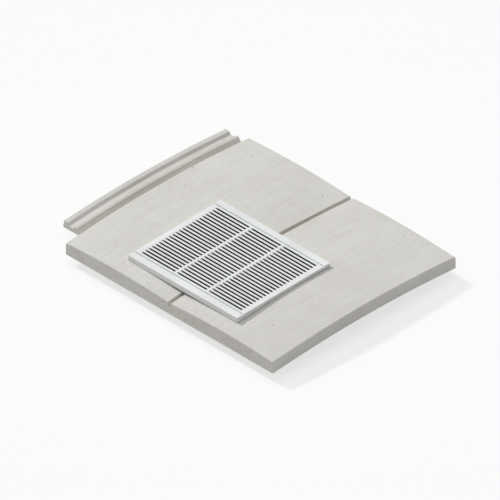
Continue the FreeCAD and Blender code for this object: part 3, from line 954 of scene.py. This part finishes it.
class MESH_OT_vent_baffle(bpy.types.Operator):
    """Moulds the rain baffle: an open frame, leaning blades and a spine"""
    bl_idname = "mesh.vent_baffle"
    bl_label = "Rain baffle"

    def execute(self, context):
        at = places()
        low, high = -ledge_drop, baffle_height - ledge_drop
        outer = at.throat - throat_wall - baffle_clearance
        corner = throat_corner - throat_wall - baffle_clearance
        rim = moulded_ring("rim", ring_section(
            outer, corner, outer - baffle_wall, corner - baffle_wall, low, high), at)
        # The blades and the spine stop short of the rim's two faces, the spine by half as much
        half_width, half_length = at.throat - throat_wall
        spine = softened(upright(
            0, half_length, low + blade_setback / 2, high - blade_setback / 2), moulded_edge)
        core = prism("spine", spine, -baffle_wall / 2, baffle_wall / 2, at=at)
        lean, half = baffle_height * math.tan(blade_lean) / 2, blade_thickness / math.cos(blade_lean) / 2
        bottom, top = low + blade_setback, high - blade_setback
        blade = softened([
            (-lean - half, bottom), (half - lean, bottom), (lean + half, top), (lean - half, top)],
            blade_soft)
        count = math.ceil(2 * (half_length + lean) / blade_pitch)
        combine(core, "UNION", *[
            prism("blade", blade + [(index - (count - 1) / 2) * blade_pitch, 0],
                  -half_width, half_width, at=at)
            for index in range(count)])
        inside = outer - baffle_wall / 2
        combine(core, "INTERSECT", block(
            "inside", *inside, corner - baffle_wall / 2, low - past, high + past, at))
        combine(rim, "UNION", core)
        finish_piece(rim, "moulded_baffle", black_plastic(), "rain_baffle")
        return {"FINISHED"}


class MESH_OT_vent_backing(bpy.types.Operator):
    """Moulds the backing frame that clamps the throat from below"""
    bl_idname = "mesh.vent_backing"
    bl_label = "Backing frame"

    def execute(self, context):
        at = places()
        low, high = -backing_drop - backing_thickness, -backing_drop
        section = ring_section(
            at.flange, opening_corner, at.throat + backing_clearance, throat_corner + backing_clearance,
            low, high)
        backing = moulded_ring("backing", section, at, backing_soft, steps=4)
        combine(backing, "DIFFERENCE", *[
            cylinder("hole", screw_hole_radius, low - past, high + past, x, y, at)
            for _, x, y in screw_places(at)])
        finish_piece(backing, "moulded_backing", black_plastic(), "backing_frame")
        return {"FINISHED"}


def seal_ring(name, at, low, high, node):
    """Foam ring on one grid: its outline is softened, and its sides bulge between the faces that
    press it. high is a height, or a function of the path for a ring against the tile's underside."""
    inner, inner_corner = at.opening + seal_setback, opening_corner + seal_setback
    outer, outer_corner = inner + seal_width, inner_corner + seal_width
    levels = softened(
        ring_section(outer, outer_corner, inner, inner_corner, 0, seal_thickness), seal_soft, steps=4)
    grid = loft(levels, side_steps=seal_steps)
    top = high(grid[..., :2]) if callable(high) else high
    grid[..., 2] = low + levels[:, 3:] / seal_thickness * (top - low)
    ring = solid(name, on_cover_axes(at, grid), ring=True)
    finish_piece(ring, name, sponge_rubber(), node)


class MESH_OT_vent_seals(bpy.types.Operator):
    """Cuts the two foam rings that seal the throat to the tile"""
    bl_idname = "mesh.vent_seals"
    bl_label = "Seals"

    def execute(self, context):
        at = places()
        tile = settings()[0]

        def underside(path):
            y = path[..., 1] * math.cos(at.cover_tilt) + at.y_cover + seat_drop * math.sin(at.cover_tilt)
            level = carried_height(at, -tile.thickness, y)
            rise = path[..., 1] * math.sin(at.cover_tilt)
            return (level - at.cover_level - rise) / math.cos(at.cover_tilt)

        seal_ring("upper_foam_ring", at, -seat_drop, at.flange_under, "top_seal")
        seal_ring("lower_foam_ring", at, -backing_drop, underside, "bottom_seal")
        return {"FINISHED"}


def threaded_screw(x, y, at):
    """Pan-head screw on one grid. Its radius is a function of height and turn: the head's, with two
    softened edges, then the core's plus a ridge that climbs one pitch a turn, then the point's."""
    seat = -backing_drop - backing_thickness
    head_end = seat - screw_head_height
    head = softened([
        (screw_head_radius * screw_head_flat, head_end), (screw_head_radius, head_end + screw_head_dome),
        (screw_head_radius, seat), (screw_radius, seat)], screw_head_soft, steps=4, closed=False)
    core = screw_radius - thread_depth
    rise = np.arange(thread_start, screw_length - thread_end, thread_pitch / thread_steps)
    height = np.concatenate([head[:, 1], seat + rise, [seat + screw_length]])[:, None]
    turn = np.linspace(0, 2 * math.pi, circle_steps + 1)[:-1]
    phase = (rise[:, None] / thread_pitch - turn / (2 * math.pi)) % 1
    ridge = thread_depth * np.clip((thread_foot - np.abs(phase - 0.5)) / thread_flank, 0, 1)
    point = np.clip((screw_length - rise) / (2 * thread_pitch), point_start, 1)[:, None]
    radius = np.concatenate([
        np.broadcast_to(head[:, :1], (len(head), len(turn))), (core + ridge) * point,
        np.full((1, len(turn)), point_end * core)])
    grid = np.stack(np.broadcast_arrays(
        x + radius * np.cos(turn), y + radius * np.sin(turn), height), -1)
    screw = solid("screw", on_cover_axes(at, grid))
    bars = []
    for size in ((recess_length, recess_width), (recess_width, recess_length)):
        wide, narrow = np.array(size) / 2, np.array(size) / 2 * recess_taper
        levels = np.array([
            (*wide, recess_corner, head_end - past), (*narrow, recess_corner, head_end + recess_depth)])
        bars.append(solid("recess", on_cover_axes(at, loft(levels, corner_steps=3) + [x, y, 0])))
    return combine(screw, "DIFFERENCE", *bars)


class MESH_OT_vent_screws(bpy.types.Operator):
    """Makes the four screws that hold the backing frame"""
    bl_idname = "mesh.vent_screws"
    bl_label = "Screws"

    def execute(self, context):
        at = places()
        steel = stainless_steel()
        for place, x, y in screw_places(at):
            screw = threaded_screw(x, y, at)
            finish_piece(screw, "fixing_" + place, steel, "screw_" + place)
        return {"FINISHED"}


# Camera. The drawing is isometric, and one pixel is 1.033 mm of the plane that the camera sees
picture_side = 500
drawing_scale = 1.033 * mm
view_azimuth = math.radians(45)
view_elevation = math.atan(math.sqrt(0.5))
centre_from_side = 143.5 * mm
centre_from_tail = 125.5 * mm
camera_distance = 3.0
camera_reach = 20.0

# Floor and lights. A background of strength 1 is white
floor_half = 4.0
floor_drop = 0.05 * mm
floor_white = 0.7
sky_light = 0.35
sky_white = 0.96
lamp_power = 1.9
lamp_spread = math.radians(8)
lamp_direction = (0.70, 0.08, -0.70)
panel_power = 10.0
panel_size = 1.6
panel_height = 2.0


class SCENE_OT_vent_stage(bpy.types.Operator):
    """Sets the pale floor, the soft lights and the camera of the drawing's view"""
    bl_idname = "scene.vent_stage"
    bl_label = "Stage"

    def execute(self, context):
        at = places()
        scene = context.scene
        scene.view_settings.view_transform = "Standard"
        self.lay_floor()
        self.light(scene)
        camera = bpy.data.cameras.new("camera")
        camera.type = "ORTHO"
        camera.ortho_scale = picture_side * drawing_scale
        camera.clip_end = camera_reach
        back = Vector((
            math.sin(view_azimuth) * math.cos(view_elevation),
            -math.cos(view_azimuth) * math.cos(view_elevation), math.sin(view_elevation)))
        centre = Vector((at.x_side + centre_from_side, at.y_tail + centre_from_tail, at.edge_level))
        scene.camera = self.put("camera", camera, centre + camera_distance * back, -back)
        return {"FINISHED"}

    def put(self, name, data, place, direction):
        """Links an object, and turns its own view along a direction."""
        thing = bpy.data.objects.new(name, data)
        thing.location = place
        thing.rotation_euler = Vector(direction).to_track_quat("-Z", "Y").to_euler()
        bpy.context.scene.collection.objects.link(thing)
        return thing

    def lay_floor(self):
        """Matt paper. Most of what the camera sees of it is plain white, so the shadow stays soft."""
        material, tree, output, _ = new_material("matt_white_paper")
        seen = add(tree, "LightPath", {}).outputs["Is Camera Ray"]
        share = add(tree, "Math", {0: seen, 1: floor_white}, operation="MULTIPLY")
        paper = add(tree, "BsdfPrincipled", {
            "Base Color": (*settings()[2].floor, 1), "Roughness": 0.9, "Specular IOR Level": 0.1})
        white = add(tree, "Emission", {"Color": (1, 1, 1, 1), "Strength": 1.0})
        mixed = add(tree, "MixShader", {0: share, 1: paper, 2: white})
        tree.links.new(mixed.outputs[0], output.inputs[0])
        mesh = bpy.data.meshes.new("floor")
        corners = np.array([(-1, -1), (1, -1), (1, 1), (-1, 1)]) * floor_half
        mesh.from_pydata([(x, y, -floor_drop) for x, y in corners], [], [(0, 1, 2, 3)])
        mesh.materials.append(material)
        floor = bpy.data.objects.new("floor", mesh)
        bpy.context.collection.objects.link(floor)

    def light(self, scene):
        """Even white sky, a wide panel overhead, and one lamp from the left, so that the ribs and the
        cover cast short shadows."""
        scene.world = bpy.data.worlds.new("studio")
        scene.world.use_nodes = True
        tree = scene.world.node_tree
        tree.nodes.clear()
        output = add(tree, "OutputWorld", {})
        path = add(tree, "LightPath", {})
        seen = path.outputs["Is Camera Ray"]
        for ray in ("Is Glossy Ray", "Is Transmission Ray"):
            seen = add(tree, "Math", {0: seen, 1: path.outputs[ray]}, operation="MAXIMUM")
        sky, white = (
            add(tree, "Background", {"Color": (1, 1, 1, 1), "Strength": strength})
            for strength in (sky_light, sky_white))
        mixed = add(tree, "MixShader", {0: seen, 1: sky, 2: white})
        tree.links.new(mixed.outputs[0], output.inputs[0])
        lamp = bpy.data.lights.new("lamp", "SUN")
        lamp.energy = lamp_power
        lamp.angle = lamp_spread
        self.put("lamp", lamp, (0, 0, 0), lamp_direction)
        panel = bpy.data.lights.new("panel", "AREA")
        panel.energy = panel_power
        panel.shape = "DISK"
        panel.size = panel_size
        self.put("panel", panel, (0, 0, panel_height), (0, 0, -1))


class VIEW3D_PT_vent(bpy.types.Panel):
    """Buttons and sizes of the roof tile vent"""
    bl_label = "Roof tile vent"
    bl_idname = "VIEW3D_PT_vent"
    bl_space_type = "VIEW_3D"
    bl_region_type = "UI"
    bl_category = "Roof vent"

    def draw(self, context):
        for operator in operators:
            self.layout.operator(operator.bl_idname)
        for group in settings():
            box = self.layout.box()
            for name in group.bl_rna.properties.keys():
                if name not in ("rna_type", "name"):
                    box.prop(group, name)


operators = (
    MESH_OT_vent_tile, MESH_OT_vent_grille, MESH_OT_vent_throat, MESH_OT_vent_baffle,
    MESH_OT_vent_backing, MESH_OT_vent_seals, MESH_OT_vent_screws, SCENE_OT_vent_stage)
setting_groups = {"vent_tile": TileSettings, "vent_cover": CoverSettings, "vent_finish": FinishSettings}


def register():
    for name, group in setting_groups.items():
        bpy.utils.register_class(group)
        setattr(bpy.types.Scene, name, bpy.props.PointerProperty(type=group))
    for operator in operators:
        bpy.utils.register_class(operator)
    bpy.utils.register_class(VIEW3D_PT_vent)


def unregister():
    bpy.utils.unregister_class(VIEW3D_PT_vent)
    for operator in reversed(operators):
        bpy.utils.unregister_class(operator)
    for name, group in reversed(setting_groups.items()):
        delattr(bpy.types.Scene, name)
        bpy.utils.unregister_class(group)


def main():
    """Makes all the pieces and the stage."""
    register()
    bpy.ops.mesh.vent_tile()
    bpy.ops.mesh.vent_grille()
    bpy.ops.mesh.vent_throat()
    bpy.ops.mesh.vent_baffle()
    bpy.ops.mesh.vent_backing()
    bpy.ops.mesh.vent_seals()
    bpy.ops.mesh.vent_screws()
    bpy.ops.scene.vent_stage()


if __name__ == "__main__":
    main()
